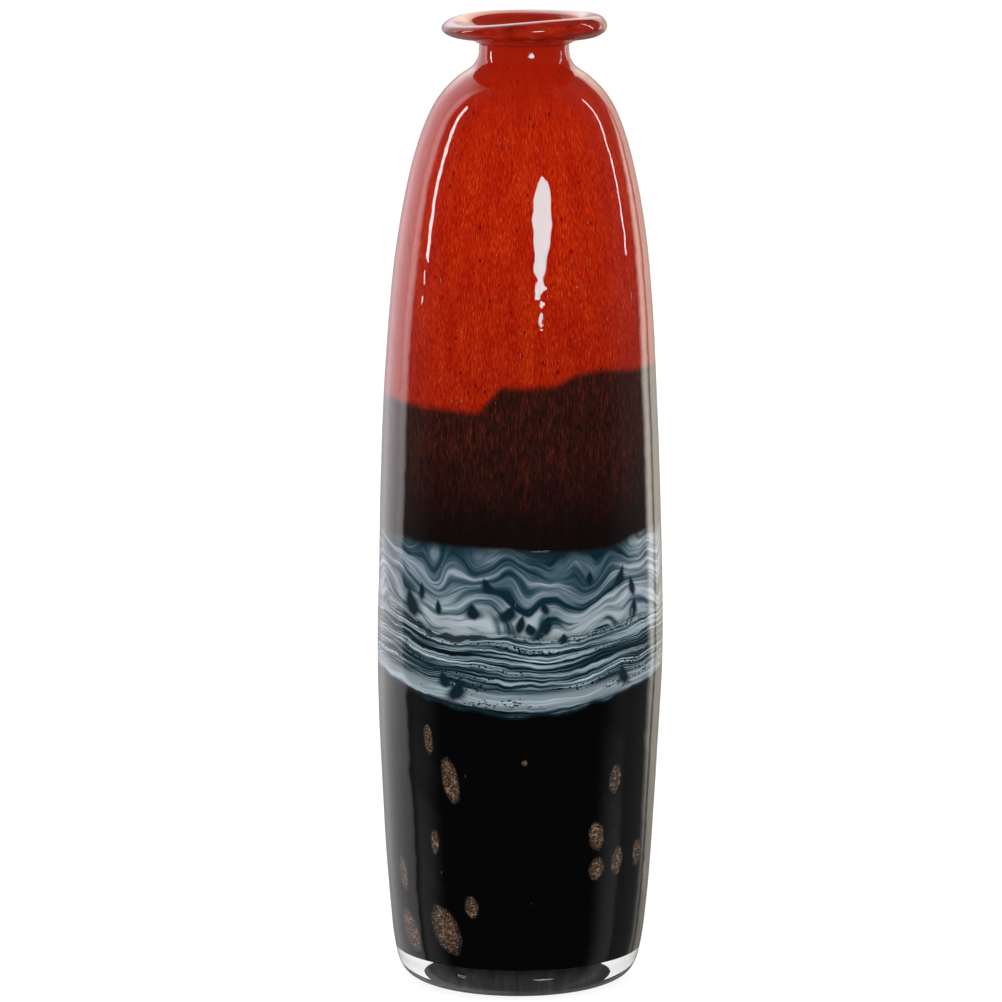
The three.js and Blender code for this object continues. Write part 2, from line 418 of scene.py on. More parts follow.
class Surface(Graph):
    """The node tree of a new material."""

    def __init__(self, name):
        self.material = bpy.data.materials.new(name)
        self.material.use_nodes = True
        super().__init__(self.material.node_tree)
        self.shader = self.tree.nodes["Principled BSDF"]
        self.output = self.tree.nodes["Material Output"]


def clear_glass(name):
    """Polished clear glass that lets the lamps through to what it covers."""
    g = Surface(name)
    shader = g.shader
    shader.inputs["Base Color"].default_value = (1.0, 1.0, 1.0, 1)
    shader.inputs["IOR"].default_value = GLASS_IOR
    shader.inputs["Transmission Weight"].default_value = 1.0
    shader.inputs["Roughness"].default_value = 0.0
    clear = g.add("ShaderNodeBsdfTransparent")
    shadow = g.add("ShaderNodeLightPath").outputs["Is Shadow Ray"]
    blend = g.add("ShaderNodeMixShader")
    g.put(shadow, blend.inputs[0])
    g.put(shader.outputs[0], blend.inputs[1])
    g.put(clear.outputs[0], blend.inputs[2])
    g.put(blend.outputs[0], g.output.inputs["Surface"])
    return g.material


# ------------------------------------------------------------------ coloured glass

def red_glass(g, x, y, z):
    """Crimson with fine orange streaks drawn upwards and a few dark specks; near the top of the neck the red
    is lifted lighter, painted light against the shade under the lip.
    """
    fine = g.drawn(x, y, z, 2200.0, 400.0, detail=2.5, roughness=0.7)
    broad = g.drawn(x, y, z, 150.0, 40.0)
    mixed = g.sum(g.times(fine, 0.8), g.times(broad, 0.2))
    colour = g.ramp(mixed, (0.38, (0.36, 0.007, 0.001)), (0.48, (0.49, 0.015, 0.002)),
                    (0.57, (0.60, 0.032, 0.003)), (0.70, (0.78, 0.098, 0.010)))
    spots = g.cells(g.join(x, y, g.times(z, 0.7)), scale=170.0)
    specks = g.step(spots, 0.06, 0.12, 1.0, 0.0)
    shade = g.step(z, 0.25, 0.33, 0.86, 1.0)
    # plain red towards the neck, lifted to a lighter red above about 0.37 m: painted light that offsets the
    # shade under the lip
    neck = g.mix(g.step(z, 0.368, 0.384), (0.47, 0.015, 0.003), (0.72, 0.028, 0.007))
    colour = g.mix(g.step(z, 0.345, 0.385, 0.0, 0.75), colour, neck)
    colour = g.mix(g.times(specks, 0.85), colour, (0.06, 0.002, 0.001))
    return g.mix(shade, (0.0, 0.0, 0.0), colour)


def dark_glass(g, x, y, z):
    """Nearly black brown, crowded with fine red streaks that die out downwards."""
    fine = g.drawn(x, y, z, 1500.0, 260.0, roughness=0.7)
    broad = g.drawn(x, y, z, 240.0, 60.0, detail=1.0)
    mixed = g.sum(g.times(fine, 0.8), g.times(broad, 0.2))
    streaks = g.ramp(mixed, (0.34, (0.010, 0.005, 0.004)), (0.48, (0.030, 0.007, 0.005)),
                     (0.60, (0.072, 0.013, 0.007)), (0.74, (0.17, 0.028, 0.011)))
    fade = g.step(z, 0.190, 0.232, 0.06, 1.0)
    return g.mix(fade, (0.005, 0.003, 0.003), streaks)


# mean heights in the pattern of the coat
BAND_BOTTOM = 0.1213
SEAM = 0.1512           # between the strata and the swirls of the band
BAND_TOP = 0.1895
DARK_TOP = 0.2446

# dark drops in the band: angle from the front (degrees), height, half width and half height (mm), slant
FRONT_DROPS = (
    (-51, 164, 4.6, 5.5, 0.4), (-45, 169, 1.8, 4.2, 0.0), (-36, 164, 1.7, 3.6, 0.1),
    (-20, 163, 3.8, 3.6, 0.2), (-5, 162, 4.2, 3.8, -0.5), (0, 158, 2.4, 4.2, -0.2),
    (4, 156, 3.0, 2.6, 0.3), (11, 158, 2.0, 4.2, -0.1), (18, 152, 2.3, 2.4, 0.0),
    (46, 175, 2.4, 5.2, -0.3), (53, 170, 2.2, 4.6, 0.2), (54, 161, 2.8, 4.2, -0.2),
    (48, 134, 3.4, 4.4, 0.3), (-33, 134, 3.0, 3.6, 0.3), (-27, 130, 4.2, 4.8, -0.5),
    (30, 176, 1.8, 3.0, 0.0), (-14, 174, 2.6, 3.4, 0.4), (10, 165, 2.0, 3.0, 0.3),
)
DROP_RADIUS = 0.053     # of the coat where the drops lie


def dark_drops(g, turn, z):
    """Share of dark glass: pointed drops, each a soft-edged leaf standing on the band."""
    most = 0.0
    for angle, height, half_width, half_height, slant in FRONT_DROPS:
        up = g.times(g.sum(z, -height * MM), 1 / (half_height * MM))
        along = g.times(g.sum(turn, -math.radians(angle)), DROP_RADIUS / (half_width * MM))
        side = g.math("ABSOLUTE", g.sum(along, g.times(up, slant * half_height / half_width)))
        taper = g.math("MAXIMUM", g.sum(g.times(up, 0.6), 1.0), 0.4)
        leaf = g.sum(g.times(side, taper), g.times(up, up))
        most = g.math("MAXIMUM", most, g.step(leaf, 0.40, 1.30, 1.0, 0.0))
    return most


def bent_level(g, level, *bends):
    """The level, moved up and down by noises, each given as (noise, most it moves)."""
    return g.sum(level, *(g.times(g.sum(noise, -0.5), reach) for noise, reach in bends))


def strata_glass(g, x, y, level, bent):
    """Thin white, grey and slate lines, with a pale stripe and rows of dark grains."""
    lines = g.drawn(x, y, bent, 14.0, 760.0, detail=4.0, roughness=0.68)
    strata = g.ramp(lines, (0.38, (0.002, 0.006, 0.009)), (0.46, (0.012, 0.030, 0.042)),
                    (0.52, (0.10, 0.17, 0.21)), (0.57, (0.39, 0.50, 0.56)), (0.66, (0.72, 0.80, 0.84)))
    grain = g.cells(g.join(x, y, g.times(bent, 1.7)), scale=620.0)
    seams = g.drawn(x, y, bent, 34.0, 330.0, detail=1.0)
    grains = g.times(g.step(grain, 0.28, 0.46, 1.0, 0.0), g.step(seams, 0.53, 0.60))
    stripe = g.times(g.step(level, 0.1225, 0.1245), g.step(level, 0.128, 0.131, 1.0, 0.0), 0.6)
    return g.mix(grains, g.mix(stripe, strata, (0.50, 0.60, 0.66)), (0.003, 0.008, 0.012))


def swirled_glass(g, x, y, z, turn, level, bent, flame):
    """Loose watercolour swirls, darker at the top and lighter to the right of the front."""
    roll = g.drawn(x, y, z, 62.0, 55.0, detail=0.0)
    drift = g.drawn(x, y, z, 24.0, 30.0, detail=0.0)
    loose = bent_level(g, level, (drift, 0.026), (roll, 0.020), (flame, 0.004))
    swirls = g.drawn(x, y, loose, 20.0, 230.0, detail=4.0, roughness=0.6, distortion=0.1)
    clouds = g.drawn(x, y, loose, 50.0, 80.0, detail=1.0)
    gloom = g.step(level, 0.170, 0.186, 0.0, -0.030)
    light = g.step(turn, math.radians(36), math.radians(56), 0.0, 0.055)
    mixed = g.sum(g.times(swirls, 0.8), g.times(clouds, 0.2), gloom, light)
    water = g.ramp(mixed, (0.38, (0.005, 0.024, 0.040)), (0.45, (0.030, 0.078, 0.106)),
                   (0.51, (0.105, 0.170, 0.205)), (0.57, (0.28, 0.345, 0.41)), (0.65, (0.62, 0.69, 0.74)))
    pale = g.step(bent, 0.152, 0.170, 0.75, 0.0)
    return g.mix(g.times(pale, g.step(swirls, 0.42, 0.54)), water, (0.62, 0.70, 0.74))


def dark_seam(g, x, y, turn, bent, flame):
    """Share of the dark line between strata and swirls, thickest at the front left and patchy along it."""
    patches = g.noise(g.join(g.times(x, 120.0), g.times(y, 120.0), 0.4))
    left_end = g.step(turn, math.radians(-64), math.radians(-48))
    right_end = g.step(turn, math.radians(-26), math.radians(-8), 1.0, 0.12)
    thick = g.times(left_end, right_end, g.step(patches, 0.36, 0.60, 0.0005, 0.0021))
    away = g.math("ABSOLUTE", bent_level(g, g.sum(bent, -SEAM), (flame, 0.004)))
    return g.times(g.step(g.sum(away, g.minus(thick)), -0.0006, 0.0006, 1.0, 0.0), 0.92)


def marbled_glass(g, x, y, z, turn):
    """White and slate blue glass: thin strata below, loose swirls with dark drops above."""
    rise = g.math("SINE", turn)
    level = g.sum(z, g.times(rise, rise, -0.009))
    swell = g.drawn(x, y, z, 22.0, 34.0)
    ripple = g.drawn(x, y, z, 95.0, 90.0)
    bent = bent_level(g, level, (swell, 0.012), (ripple, 0.0030))
    flame = g.drawn(x, y, z, 150.0, 60.0, detail=0.0)
    strata = strata_glass(g, x, y, level, bent)
    water = swirled_glass(g, x, y, z, turn, level, bent, flame)
    glass = g.mix(g.step(bent, 0.150, 0.156), strata, water)
    glass = g.mix(dark_seam(g, x, y, turn, bent, flame), glass, (0.006, 0.016, 0.024))
    drops = dark_drops(g, turn, bent_level(g, z, (ripple, 0.004)))
    return g.mix(drops, glass, (0.005, 0.021, 0.034))


def coat_material():
    """The coloured coat: each glass gives way to the next along a wavy, slightly soft edge."""
    g = Surface("coloured_glass_coat")
    x, y, z = g.place()
    angle = g.angle(x, y)
    x = g.times(g.math("SINE", angle), PATTERN_RADIUS)      # the patterns lie on an even cylinder,
    y = g.times(g.math("COSINE", angle), -PATTERN_RADIUS)   # so the streaks follow the wall inwards
    turn = g.math("ARCSINE", g.math("SINE", angle))         # the back mirrors the front
    rise = g.math("SINE", turn)
    ruffle = g.times(g.sum(g.noise(g.join(x, y, g.times(z, 0.3)), scale=85.0), -0.5), 0.005)

    def bump(start, end, height):
        return g.step(turn, math.radians(start), math.radians(end), 0.0, height * MM)

    def above(edge, below, over):
        return g.step(z, g.sum(edge, below), g.sum(edge, over))

    low = g.sum(BAND_BOTTOM, g.times(rise, rise, 0.011), ruffle)
    middle = g.sum(BAND_TOP, bump(-15, 15, -1.5), bump(38, 64, 4.5), bump(-62, -45, -1.0),
                   g.times(ruffle, 0.5))
    high = g.sum(DARK_TOP, bump(-62, -14, -0.8), bump(-20, -7, 10.2), bump(12, 29, 5.4),
                 bump(35, 70, -1.5), g.times(ruffle, 0.4))
    fringe = g.mix(above(low, -0.0018, 0.0006), (0.0008, 0.0008, 0.0009), (0.010, 0.028, 0.042))
    band = g.mix(above(low, -0.0006, 0.0016), fringe, marbled_glass(g, x, y, z, turn))
    veil = g.mix(above(middle, -0.0034, 0.0), band, g.mix(0.6, band, (0.010, 0.022, 0.034)))
    colour = g.mix(above(middle, -0.0008, 0.0018), veil, dark_glass(g, x, y, z))
    colour = g.mix(above(high, -0.0020, 0.0026), colour, red_glass(g, x, y, z))

    g.put(colour, g.shader.inputs["Base Color"])
    g.shader.inputs["Roughness"].default_value = 0.6
    g.shader.inputs["Specular IOR Level"].default_value = 0.0
    return g.material


def lip_glass():
    """The red glass of the coil, polished, with the same fine streaks lying round it, and a lighter red
    painted inside the mouth as painted light against the shade there.
    """
    g = Surface("red_lip_glass")
    x, y, z = g.place()
    radius = g.math("SQRT", g.sum(g.times(x, x), g.times(y, y)))
    around = g.drawn(x, y, radius, 200.0, 700.0, detail=3.0)
    broad = g.drawn(x, y, z, 40.0, 200.0)
    colour = g.ramp(g.sum(g.times(around, 0.4), g.times(broad, 0.6)), (0.40, (0.13, 0.004, 0.002)),
                    (0.52, (0.24, 0.009, 0.003)), (0.66, (0.34, 0.022, 0.005)))
    # lighter red inside the mouth: painted light against the shade there
    mouth = g.step(radius, 26 * MM, 28 * MM, 1.0, 0.0)
    colour = g.mix(g.times(mouth, 0.5), colour, (0.36, 0.020, 0.008))
    g.put(colour, g.shader.inputs["Base Color"])
    g.shader.inputs["Roughness"].default_value = 0.03
    g.shader.inputs["IOR"].default_value = GLASS_IOR
    return g.material


def copper_glass():
    """Aventurine: brown glass crowded with tiny copper plates, some of which flash, thin at its edge; the
    plates' random brightness is partly copper tone, partly painted glint.
    """
    g = Surface("copper_aventurine")
    place = g.join(*g.place())
    edge = g.add("ShaderNodeAttribute", attribute_name=EDGE_ATTRIBUTE).outputs["Fac"]
    split = g.add("ShaderNodeSeparateColor")
    g.put(g.cells(place, scale=2400.0, output="Color"), split.inputs[0])
    plate_tone_and_painted_glint, kind, wear = split.outputs  # three even draws for each plate; the first gives its copper tone and a painted glint
    shade = g.noise(place, scale=260.0)
    value = g.sum(g.times(plate_tone_and_painted_glint, 0.75), g.times(shade, 0.4))
    # the top stop is the bright copper of a plate, partly a painted glint
    colour = g.ramp(value, (0.28, (0.014, 0.008, 0.005)), (0.5, (0.041, 0.024, 0.014)),
                    (0.75, (0.102, 0.056, 0.032)), (0.95, (0.46, 0.29, 0.18)))
    thin = g.step(g.sum(edge, g.times(wear, 0.30)), 0.86, 1.12)
    metal = g.times(g.step(kind, 0.6, 0.7, 0.0, 0.8), g.sum(1.0, g.minus(thin)))
    g.put(g.mix(thin, colour, (0.002, 0.002, 0.002)), g.shader.inputs["Base Color"])
    g.put(g.step(kind, 0.75, 0.8, 0.55, 0.25), g.shader.inputs["Roughness"])
    g.put(metal, g.shader.inputs["Metallic"])
    g.shader.inputs["Specular IOR Level"].default_value = 0.15
    return g.material


def ground_glass():
    """The matt grey of a ground pontil, streaked by the wheel."""
    g = Surface("ground_glass")
    x, y, z = g.place()
    smears = g.noise(g.join(g.times(x, 260.0), g.times(y, 60.0), z), detail=3.0)
    grey = g.ramp(smears, (0.3, (0.083, 0.083, 0.086)), (0.7, (0.166, 0.165, 0.170)))
    g.put(grey, g.shader.inputs["Base Color"])
    g.shader.inputs["Roughness"].default_value = 0.8
    g.shader.inputs["Specular IOR Level"].default_value = 0.1
    return g.material


# ------------------------------------------------------------------ the pieces

def bubble(angle, height, depth, half_width, half_height, first):
    """An air bubble inside the wall: points, and faces that face into the air, numbered from `first`."""
    rings, spokes = 8, 14
    radius = np.interp(height, OUTSIDE[:, 1], OUTSIDE[:, 0]) - depth
    thickness = min(half_width, THICKEST_BUBBLE)
    out = np.array([math.sin(angle), -math.cos(angle), 0])
    along = np.array([math.cos(angle), math.sin(angle), 0])
    middle = radius * out + np.array([lean(height), 0, height])
    points = [middle + (0, 0, half_height)]
    for ring in range(1, rings):
        drop = math.pi * ring / rings
        for spoke in range(spokes):
            spin = 2 * math.pi * spoke / spokes
            points.append(middle + half_width * math.sin(drop) * math.cos(spin) * along
                          - thickness * math.sin(drop) * math.sin(spin) * out
                          + (0, 0, half_height * math.cos(drop)))
    points.append(middle - (0, 0, half_height))
    last = first + len(points) - 1
    faces = []
    for spoke in range(spokes):
        after = (spoke + 1) % spokes
        faces.append((first, first + 1 + after, first + 1 + spoke))
        faces.append((last, last - spokes + spoke, last - spokes + after))
        for ring in range(rings - 2):
            a = first + 1 + ring * spokes
            faces.append((a + spoke, a + after, a + spokes + after, a + spokes + spoke))
    return points, faces


# larger bubbles: angle from the front (degrees), height, depth, half width and half height (mm)
LARGE_BUBBLES = (
    (8, 188.4, 2.4, 4.6, 0.7), (13, 9.4, 4.5, 4.6, 0.6), (-29, 9.6, 4.0, 2.4, 1.0),
    (58, 288, 2.2, 0.9, 2.6), (64, 281, 2.2, 0.8, 1.6), (-52, 290, 2.3, 0.5, 1.5),
    (27, 352, 1.8, 0.5, 1.9), (-14, 350, 1.8, 0.4, 1.7), (25, 294, 2.2, 0.9, 1.1),
    (-40, 296, 2.2, 0.8, 1.6), (140, 300, 2.2, 0.7, 2.2), (-150, 270, 2.4, 0.8, 2.0),
)


def all_bubbles(dice):
    """The larger bubbles and a scatter of seeds, most of them in the red shoulder."""
    places = [(math.radians(turn), up * MM, deep * MM, wide * MM, tall * MM)
              for turn, up, deep, wide, tall in LARGE_BUBBLES]
    for _ in range(SEEDS):
        height = dice.uniform(0.03, 0.36) if dice.random() < 0.3 else dice.uniform(0.24, 0.36)
        half_width = (0.20 + 0.35 * dice.random() ** 2) * MM
        places.append((dice.uniform(-math.pi, math.pi), height, dice.uniform(1.2, 2.4) * MM, half_width,
                       half_width * dice.uniform(1.4, 4.0)))
    points, faces = [], []
    for place in places:
        new_points, new_faces = bubble(*place, len(points))
        points += new_points
        faces += new_faces
    return points, faces


def make_casing():
    """Thick clear casing: ground hollow, resting ring, wall, and the side that grips the coat."""
    points = vertices_of("clear_casing")
    depth = points[radii_of(points) < MM][:, 2].min()
    shares = np.linspace(0, 1, 16)
    bowl = np.column_stack([HOLLOW * shares, depth * (1 - shares**2)])
    flat = np.column_stack([np.linspace(HOLLOW, OUTSIDE[0][0], 8)[1:-1], np.zeros(6)])
    inside = inside_curve(EMBED, FOOT + EMBED)[::-1]
    inside[0][1] = NECK_TOP
    outline = np.vstack([bowl, flat, OUTSIDE, inside])
    seeds = all_bubbles(random.Random(BUBBLE_SEED))
    return revolve("glass_casing", lambda angle: outline, clear_glass("clear_casing_glass"), extra=seeds)


def make_pontil():
    """The ground core of the foot hollow, a flat-topped dome in the clear glass just below the black."""
    reach = HOLLOW * 1.05  # it shows a little wider than the hollow
    top = FOOT - 0.6 * MM
    shares = np.linspace(0, 1, 18)
    dome_share = 1 - shares**6
    dome = np.column_stack([reach * shares, 0.5 * MM + (top - 0.5 * MM) * dome_share])
    under = np.column_stack([reach * shares, 0.3 * MM + (top - 2 * MM) * dome_share])
    outline = np.vstack([under, dome[-2::-1]])
    return revolve("ground_pontil", lambda angle: outline, ground_glass(), segments=96, wander=False)


def radius_inside(name, height):
    """Distance from the axis to a node's inner wall at a height."""
    start = Vector((lean(height), HAIR, height))
    return tree_of(name).ray_cast(start, Vector((1, 0, 0)))[0].x - lean(height)


def make_lining():
    """The clear first gather inside the coat, with the bore in it."""
    outer = inside_curve(COAT - EMBED, FLOOR - EMBED)
    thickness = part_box("inner_lining")[1].y - radius_inside("inner_lining", MEASURED_AT)
    inner = inside_curve(COAT + thickness, FLOOR + thickness)[::-1]
    outer[-1][1] = inner[0][1] = NECK_TOP
    outline = np.vstack([outer, inner])
    return revolve("lining_glass", lambda angle: outline, clear_glass("clear_lining_glass"), segments=128)


def make_coat(material):
    """Black cup, marbled band, dark band and red shoulder, meeting edge to edge, each with node and slot."""
    black_top = top_edge_of("black_glass_cup")
    band_top = top_edge_of("marbled_white_band")
    dark_top = top_edge_of("dark_glass_band")
    outer = inside_curve(0, FOOT)
    inner = inside_curve(COAT, FLOOR)

    def cup_outline(angle):
        walls = []
        for curve, floor in ((outer, FOOT), (inner, FLOOR)):
            corner = curve[curve[:, 1] < floor + CORNER]
            heights = np.linspace(corner[-1][1], black_top(angle), 70)[1:]
            wall = np.column_stack([np.interp(heights, curve[:, 1], curve[:, 0]), heights])
            walls.append(np.vstack([corner, wall]))
        return np.vstack([walls[0], walls[1][::-1]])

    cup = revolve("black_glass", cup_outline, material)
    band = wall_piece("marbled_glass", black_top, band_top, 60, material)
    dark = wall_piece("dark_glass", band_top, dark_top, 50, material)
    shoulder = wall_piece("red_glass", dark_top, lambda angle: NECK_TOP, 130, material)
    return [
        (cup, "black_glass_cup", "black_glass"),
        (band, "marbled_white_band", "marbled_glass"),
        (dark, "dark_glass_band", "dark_glass"),
        (shoulder, "red_shoulder_coat", "red_glass"),
    ]


def lip_section():
    """Outline of the lip coil where it stands highest, at +X, smoothed and closed: (radius, height)."""
    points = vertices_of("lip_coil")
    here = points[np.abs(angles_of(points) - math.pi / 2) < 0.02]
    ring = np.unique(np.round(np.column_stack([here[:, 0] - lean(here[:, 2]), here[:, 2]]), 6), axis=0)
    middle = ring.mean(axis=0)
    ring = ring[np.argsort(np.arctan2(ring[:, 1] - middle[1], ring[:, 0] - middle[0]))]
    count = 120
    section = smooth_curve(np.vstack([ring, ring, ring]), 3 * count)[count:2 * count]
    section[:, 1] = np.maximum(section[:, 1], NECK_TOP)
    return section


def make_lip(material):
    """The thick rolled coil of the mouth; its front left sinks where its end laps over its start."""
    section = lip_section()
    low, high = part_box("lip_coil")
    crest = crest_of("lip_coil")
    crest.append(crest[0])

    def outline(angle):
        dip = high.z - np.interp(angle / (2 * math.pi) * FACETS, range(FACETS + 1), crest)
        share = np.clip((section[:, 1] - low.z) / (high.z - low.z), 0, 1)
        shape = section.copy()
        shape[:, 1] -= dip * share**2
        return shape

    return revolve("lip", outline, material, segments=192)


def fleck_places():
    """Middle angle and height, half width, half length and tilt of each copper fleck in the frame."""
    places = []
    for name in sorted(node for node in nodes if node.startswith("copper_fleck")):
        points = vertices_of(name)
        angles = angles_of(points)
        middle = math.atan2(np.sin(angles).mean(), np.cos(angles).mean())
        turned = (angles - middle + math.pi) % (2 * math.pi) - math.pi
        radius = np.hypot(points[:, 0], points[:, 1]).mean()
        flat = np.column_stack([turned * radius, points[:, 2] - points[:, 2].mean()])
        axes = np.linalg.eigh(np.cov(flat.T))[1]
        long_axis = axes[:, 1] * np.sign(axes[1, 1])
        along = flat @ long_axis
        across = flat @ np.array([long_axis[1], -long_axis[0]])
        tilt = math.atan2(-long_axis[0], long_axis[1])
        places.append((name, middle, points[:, 2].mean(), np.abs(across).max(), np.abs(along).max(), tilt))
    return places


def make_fleck(place, material, dice):
    """A ragged lens of aventurine lying on the black, a little proud of it, under the casing."""
    name, middle, height, half_width, half_length, tilt = place
    proud = 0.22 * MM
    sunk = 0.03 * MM
    raggedness = 0.022
    spokes, hoops = 36, 7
    turns = [dice.uniform(0, 2 * math.pi) for _ in range(4)]
    outer = inside_curve(0, FOOT)

    def spot(share, spin, side):
        ragged = 1 + sum(raggedness * math.sin((2 * n + 2) * spin + turn) for n, turn in enumerate(turns))
        across = half_width * share * ragged * math.cos(spin)
        along = half_length * share * ragged * math.sin(spin)
        u = across * math.cos(tilt) - along * math.sin(tilt)
        v = across * math.sin(tilt) + along * math.cos(tilt)
        z = height + v
        radius = np.interp(z, outer[:, 1], outer[:, 0])
        angle = middle + u / radius
        radius += blown(angle, np.array([z]))[0] + side * proud * math.sqrt(max(0.0, 1 - share**2)) - sunk
        return (radius * math.sin(angle) + lean(z), -radius * math.cos(angle), z)

    points = [spot(0, 0, 1)]
    for hoop in range(1, hoops + 1):
        share = math.sin(hoop / hoops * math.pi / 2)
        points += [spot(share, 2 * math.pi * s / spokes, 1) for s in range(spokes)]
    for hoop in range(hoops - 1, 0, -1):
        share = math.sin(hoop / hoops * math.pi / 2)
        points += [spot(share, 2 * math.pi * s / spokes, -1) for s in range(spokes)]
    points.append(spot(0, 0, -1))
    last_hoop = 2 * hoops - 2
    faces = [(0, 1 + s, 1 + (s + 1) % spokes) for s in range(spokes)]
    for hoop in range(last_hoop):
        a, b = 1 + hoop * spokes, 1 + (hoop + 1) * spokes
        faces += [(a + s, b + s, b + (s + 1) % spokes, a + (s + 1) % spokes) for s in range(spokes)]
    end, a = len(points) - 1, 1 + last_hoop * spokes
    faces += [(a + s, end, a + (s + 1) % spokes) for s in range(spokes)]
    piece = finish_mesh("fleck_" + name[-2:], points, faces, material)
    shares = [math.sin(min(hoop, 2 * hoops - hoop) / hoops * math.pi / 2) for hoop in range(1, 2 * hoops)]
    edge = piece.data.attributes.new(EDGE_ATTRIBUTE, "FLOAT", "POINT")
    edge.data.foreach_set("value", [0.0, *np.repeat(shares, spokes), 0.0])
    return piece


def keep(piece, slot, *replaced):
    """Tells the frame what the piece rides on and hides the nodes it stands for; slot is not used."""
    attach(piece, "root")
    for node in replaced:
        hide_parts(node)


# ------------------------------------------------------------------ studio

def direction(azimuth, elevation):
    """Unit vector towards a lamp: azimuth from the front (-Y) towards +X, in degrees."""
    a, e = math.radians(azimuth), math.radians(elevation)
    return Vector((math.sin(a) * math.cos(e), -math.cos(a) * math.cos(e), math.sin(e)))


def lamp(name, middle, azimuth, elevation, distance, width, height, strength, seen, lights,
         shape="RECTANGLE"):
    """A flat lamp facing `middle`. seen: it shows in the gloss. lights: it lights the colours."""
    data = bpy.data.lights.new(name, "AREA")
    data.shape = shape
    data.size = width
    data.size_y = height
    data.energy = strength * width * height * math.pi * (math.pi / 4 if shape == "ELLIPSE" else 1)
    lamp_object = bpy.data.objects.new(name, data)
    bpy.context.scene.collection.objects.link(lamp_object)
    towards = direction(azimuth, elevation)
    lamp_object.location = Vector(middle) + towards * distance
    lamp_object.rotation_euler = towards.to_track_quat("Z", "Y").to_euler()
    lamp_object.visible_camera = False
    lamp_object.visible_glossy = seen
    lamp_object.visible_transmission = False
    lamp_object.visible_diffuse = lights


# the window's light, from its foot up: elevation and half width there, in degrees
WINDOW = ((2.0, 0), (2.25, 2.0), (2.45, 0), (2.8, 0), (3.05, 2.4), (3.3, 0), (4.0, 0), (4.3, 5.0),
          (4.7, 6.0), (5.1, 4.6), (5.5, 2.9), (6.2, 2.7), (7.4, 5.5), (9.2, 7.4), (11.0, 8.5),
          (13.2, 9.4), (14.9, 9.0), (17.2, 8.0), (18.8, 5.2), (20.6, 0))
WINDOW_AT = 19.0        # its azimuth
WINDOW_COLOUR = (9.2, 16.4, 17.0)  # cold light; the red under it makes up the rest


def window(g, azimuth, elevation):
    """A tall leaf of light over a drop: what a frosted window with a bent blind leaves to be seen."""
    highest, widest = WINDOW[-1][0], max(half for _, half in WINDOW)
    stops = [(height / highest, (half / widest,) * 3) for height, half in WINDOW]
    half_width = g.times(g.ramp(g.times(elevation, 1 / highest), *stops), widest)
    ragged = g.noise(g.join(g.times(elevation, 0.5), g.times(azimuth, 0.04), 3.0))
    aside = g.math("ABSOLUTE", g.sum(azimuth, -WINDOW_AT, g.times(g.sum(ragged, -0.5), half_width, 0.3)))
    inside = g.step(g.sum(half_width, g.minus(aside)), 0.0, 0.5)
    below_top = g.step(elevation, highest, highest + 0.2, 1.0, 0.0)
    return g.times(inside, g.step(half_width, 0.3, 0.6), below_top)


def near(g, value, middle, core, reach):
    """1 where the value is within `core` of the middle, 0 beyond `reach`."""
    return g.step(g.math("ABSOLUTE", g.sum(value, g.minus(middle))), core, reach, 1.0, 0.0)


def left_panel(g, azimuth, elevation):
    """How far a direction lies in the white panel to the left, and how light it is, with a brighter edge."""
    edge = g.sum(g.step(elevation, -17.0, -10.0, -103.0, -110.5), g.step(elevation, -6.0, 4.0, 0.0, 2.0))
    share = g.step(azimuth, g.sum(edge, -2.5), g.sum(edge, 2.5), 1.0, 0.0)
    strip = g.times(near(g, azimuth, g.sum(edge, -6.0), 2.0, 6.0), g.step(elevation, -12.0, 0.0))
    return share, g.sum(g.step(elevation, -18.0, -7.0, 0.75, 1.5), strip)


def right_panel(g, azimuth, elevation):
    """The same for the panel to the right, which has a bright rim and a dark gap."""
    edge = g.sum(125.0, g.times(g.math("MAXIMUM", elevation, 0.0), 0.75),
                 g.step(elevation, -18.0, -10.0, 5.0, 0.0))
    widening = g.step(elevation, -18.0, -9.0, 22.0, 3.0)
    share = g.step(azimuth, g.sum(edge, -3.0), g.sum(edge, widening, 3.5))
    rim = g.times(near(g, azimuth, g.sum(edge, 4.0), 3.0, 8.0), 0.8)
    gap = g.step(g.math("ABSOLUTE", g.sum(azimuth, -141.0)), 1.0, 4.0, 0.35, 1.0)
    outer = g.step(azimuth, 136.0, 150.0, 1.0, 0.66)
    return share, g.times(g.sum(g.step(elevation, -18.0, -8.0, 0.9, 2.15), rim), gap, outer)


